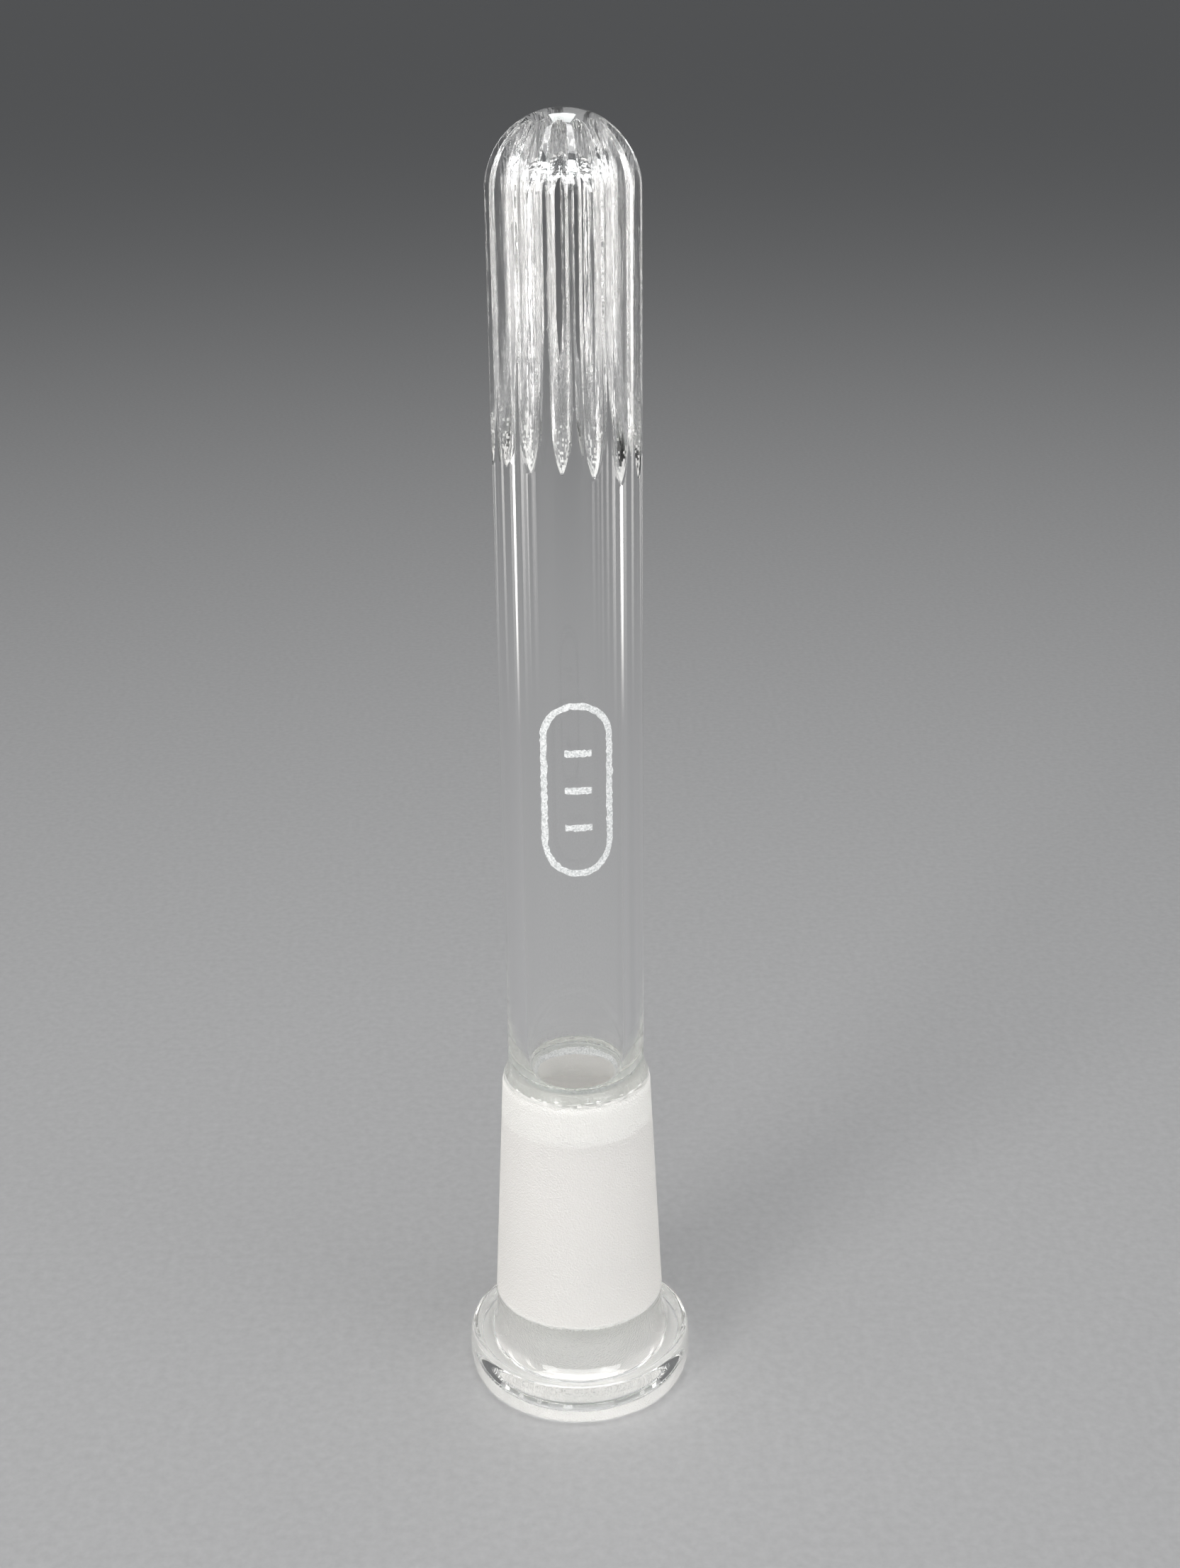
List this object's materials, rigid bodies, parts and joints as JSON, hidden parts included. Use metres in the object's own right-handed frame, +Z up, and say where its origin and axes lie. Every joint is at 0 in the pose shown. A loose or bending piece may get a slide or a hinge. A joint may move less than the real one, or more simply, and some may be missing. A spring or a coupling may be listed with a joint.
{
  "type": "ground-joint diffuser tube",
  "caption": "Clear glass stem tube with a slit, domed diffuser end and a flanged ground-glass joint that has a socket inside it.",
  "frame": {"origin": "centre of the flange's flat underside, on which the tube stands", "axes": "+Z up along the tube's axis, from the flange to the crown; -Y faces the etched mark"},
  "size_m": [0.0252, 0.0252, 0.1386],
  "materials": {
    "clear_glass": "polished",
    "ground_glass": "ground, matt"
  },
  "bodies": {
    "root": {"foot_flange": "clear_glass", "joint_cone": "ground_glass", "seal_ring": "clear_glass", "stem_tube": "clear_glass", "diffuser_rib_01": "clear_glass", "diffuser_rib_02": "clear_glass", "diffuser_rib_03": "clear_glass", "diffuser_rib_04": "clear_glass", "diffuser_rib_05": "clear_glass", "diffuser_rib_06": "clear_glass", "diffuser_rib_07": "clear_glass", "diffuser_rib_08": "clear_glass", "diffuser_rib_09": "clear_glass", "diffuser_rib_10": "clear_glass", "diffuser_rib_11": "clear_glass", "diffuser_rib_12": "clear_glass", "diffuser_rib_13": "clear_glass", "diffuser_rib_14": "clear_glass", "diffuser_rib_15": "clear_glass", "crown_dome": "clear_glass"}
  },
  "joints": []
}
